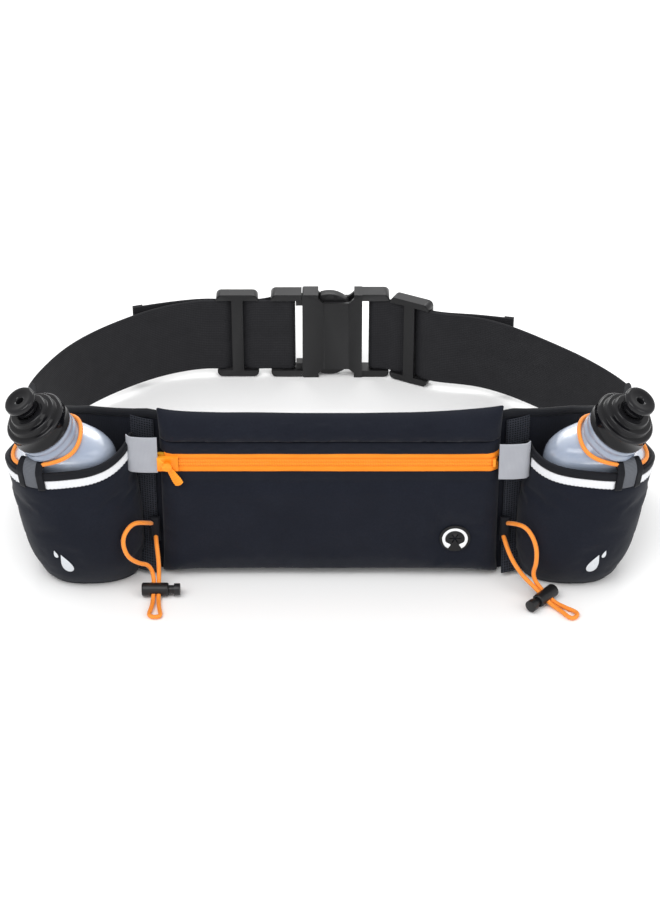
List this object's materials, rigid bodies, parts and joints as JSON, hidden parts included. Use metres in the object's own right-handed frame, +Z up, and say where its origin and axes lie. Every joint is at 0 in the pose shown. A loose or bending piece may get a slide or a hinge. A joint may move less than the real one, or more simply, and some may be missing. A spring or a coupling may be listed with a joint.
{
  "type": "running waist pack",
  "caption": "Running waist pack: zipped phone pouch between angled bottle pockets with bottles, on a padded belt closed by webbing and a side-release buckle.",
  "frame": {"origin": "middle of the bounding box at floor level, the free bib cords and their toggles left out", "axes": "+X from the left bottle to the right bottle as seen from the pouch side, +Y from the pouch to the buckle, +Z up"},
  "size_m": [0.3584, 0.2617, 0.1285],
  "materials": {
    "shell_fabric": "matte woven nylon",
    "binding_tape": "folded knitted tape",
    "air_mesh": "open spacer mesh",
    "webbing": "ribbed polyester webbing",
    "black_plastic": "fine moulded texture",
    "zip_orange": "coated zip tape",
    "zip_coil": "moulded coil",
    "slider_metal": "orange enamel",
    "grey_tape": "grey woven tape",
    "reflective_white": "reflective tape, semi-matte",
    "rubber_black": "soft matte",
    "elastic_orange": "braided elastic",
    "bottle_plastic": "translucent squeeze plastic",
    "liner_white": "soft sealing disc",
    "print_grey": "flat transfer print",
    "spring_steel": "drawn wire"
  },
  "bodies": {
    "belt": {"belt_backing": "shell_fabric", "belt_binding": "binding_tape", "pouch_back_panel": "shell_fabric", "pouch_front_lower": "shell_fabric", "pouch_front_upper": "shell_fabric", "zipper_tape_upper": "zip_orange", "zipper_tape_lower": "zip_orange", "zipper_teeth": "zip_coil", "zip_stop": "zip_coil", "earphone_grommet": "rubber_black", "earphone_ring": "reflective_white", "strap_left": "webbing", "adjuster_left": "black_plastic", "buckle_male": "black_plastic", "mesh_panel_left": "air_mesh", "mesh_panel_right": "air_mesh", "bottle_pocket_left": "shell_fabric", "bottle_pocket_right": "shell_fabric", "pocket_hem_left": "binding_tape", "pocket_hem_right": "binding_tape", "reflective_strip_left": "reflective_white", "reflective_strip_right": "reflective_white", "bottle_cord_tab_left": "grey_tape", "bottle_cord_tab_right": "grey_tape", "bottle_elastic_left": "elastic_orange", "bottle_elastic_right": "elastic_orange", "drop_print_left": "print_grey", "drop_print_right": "print_grey", "reflective_tab_left": "grey_tape", "reflective_tab_right": "grey_tape", "bib_cord_tab_left": "binding_tape", "bib_cord_tab_right": "binding_tape", "bib_cord_left": "elastic_orange", "bib_cord_right": "elastic_orange"},
    "slider": {"zip_slider": "slider_metal"},
    "pull": {"zip_pull": "slider_metal"},
    "socket": {"buckle_female": "black_plastic", "strap_right": "webbing", "adjuster_right": "black_plastic"},
    "prong_upper": {"buckle_prong_upper": "black_plastic"},
    "prong_lower": {"buckle_prong_lower": "black_plastic"},
    "bottle_left_body": {"bottle_left": "bottle_plastic"},
    "cap_carrier_left": {"cap_liner_left": "liner_white"},
    "cap_left": {"bottle_cap_left": "black_plastic"},
    "nozzle_left_body": {"nozzle_left": "black_plastic"},
    "toggle_left": {"toggle_barrel_left": "black_plastic", "toggle_spring_left": "spring_steel"},
    "plunger_left": {"toggle_plunger_left": "black_plastic"},
    "bottle_right_body": {"bottle_right": "bottle_plastic"},
    "cap_carrier_right": {"cap_liner_right": "liner_white"},
    "cap_right": {"bottle_cap_right": "black_plastic"},
    "nozzle_right_body": {"nozzle_right": "black_plastic"},
    "toggle_right": {"toggle_barrel_right": "black_plastic", "toggle_spring_right": "spring_steel"},
    "plunger_right": {"toggle_plunger_right": "black_plastic"}
  },
  "joints": [
    {"name": "zip_slide", "type": "slide", "parent": "belt", "child": "slider", "axis": [1, 0, 0], "range_m": [0, 0.171], "deforming": ["zipper_teeth"]},
    {"name": "zip_pull_swing", "type": "hinge", "parent": "slider", "child": "pull", "pos_m": [-0.089, -0.10415, 0.0788], "axis": [0, 1, 0], "range_deg": [-120, 35]},
    {"name": "buckle_release", "type": "slide", "parent": "belt", "child": "socket", "axis": [1, 0, 0], "range_m": [0, 0.032], "deforming": ["strap_right", "buckle_prong_upper", "buckle_prong_lower"]},
    {"name": "prong_squeeze_upper", "type": "hinge", "parent": "belt", "child": "prong_upper", "pos_m": [-0.0114, 0.11475, 0.048], "axis": [0, 1, 0], "range_deg": [0, 11], "stiffness_Nm_per_rad": 1.2},
    {"name": "prong_squeeze_lower", "type": "hinge", "parent": "belt", "child": "prong_lower", "pos_m": [-0.0114, 0.11475, 0.012], "axis": [0, 1, 0], "range_deg": [-11, 0], "stiffness_Nm_per_rad": 1.2},
    {"name": "bottle_lift_left", "type": "slide", "parent": "belt", "child": "bottle_left_body", "axis": [-0.2001, -0.05, 0.9785], "range_m": [0, 0.115], "deforming": ["bottle_elastic_left"]},
    {"name": "cap_rise_left", "type": "slide", "parent": "bottle_left_body", "child": "cap_carrier_left", "axis": [-0.4198, -0.2599, 0.8696], "range_m": [0, 0.012]},
    {"name": "cap_turn_left", "type": "hinge", "parent": "cap_carrier_left", "child": "cap_left", "pos_m": [-0.15565, -0.10123, 0.101], "axis": [-0.4198, -0.2599, 0.8696], "range_deg": [0, 720]},
    {"name": "nozzle_pull_left", "type": "slide", "parent": "cap_left", "child": "nozzle_left_body", "axis": [-0.4198, -0.2599, 0.8696], "range_m": [0, 0.005]},
    {"name": "toggle_slide_left", "type": "slide", "parent": "belt", "child": "toggle_left", "axis": [0, 0.8829, 0.4695], "range_m": [0, 0.01], "deforming": ["bib_cord_left"]},
    {"name": "toggle_press_left", "type": "slide", "parent": "toggle_left", "child": "plunger_left", "axis": [-1, 0, 0], "range_m": [0, 0.0028], "stiffness_N_per_m": 900, "deforming": ["toggle_spring_left"]},
    {"name": "bottle_lift_right", "type": "slide", "parent": "belt", "child": "bottle_right_body", "axis": [0.2001, -0.05, 0.9785], "range_m": [0, 0.115], "deforming": ["bottle_elastic_right"]},
    {"name": "cap_rise_right", "type": "slide", "parent": "bottle_right_body", "child": "cap_carrier_right", "axis": [0.4198, -0.2599, 0.8696], "range_m": [0, 0.012]},
    {"name": "cap_turn_right", "type": "hinge", "parent": "cap_carrier_right", "child": "cap_right", "pos_m": [0.15565, -0.10123, 0.101], "axis": [0.4198, -0.2599, 0.8696], "range_deg": [0, 720]},
    {"name": "nozzle_pull_right", "type": "slide", "parent": "cap_right", "child": "nozzle_right_body", "axis": [0.4198, -0.2599, 0.8696], "range_m": [0, 0.005]},
    {"name": "toggle_slide_right", "type": "slide", "parent": "belt", "child": "toggle_right", "axis": [-0.6628, 0.5834, 0.4695], "range_m": [0, 0.004], "deforming": ["bib_cord_right"]},
    {"name": "toggle_press_right", "type": "slide", "parent": "toggle_right", "child": "plunger_right", "axis": [0.6607, 0.7507, 0], "range_m": [0, 0.0028], "stiffness_N_per_m": 900, "deforming": ["toggle_spring_right"]}
  ],
  "couplings": [
    {"joint": "prong_squeeze_lower", "follows": "prong_squeeze_upper", "ratio": -1},
    {"joint": "cap_rise_left", "follows": "cap_turn_left", "m_per_rad": 0.00095493},
    {"joint": "cap_rise_right", "follows": "cap_turn_right", "m_per_rad": 0.00095493}
  ]
}
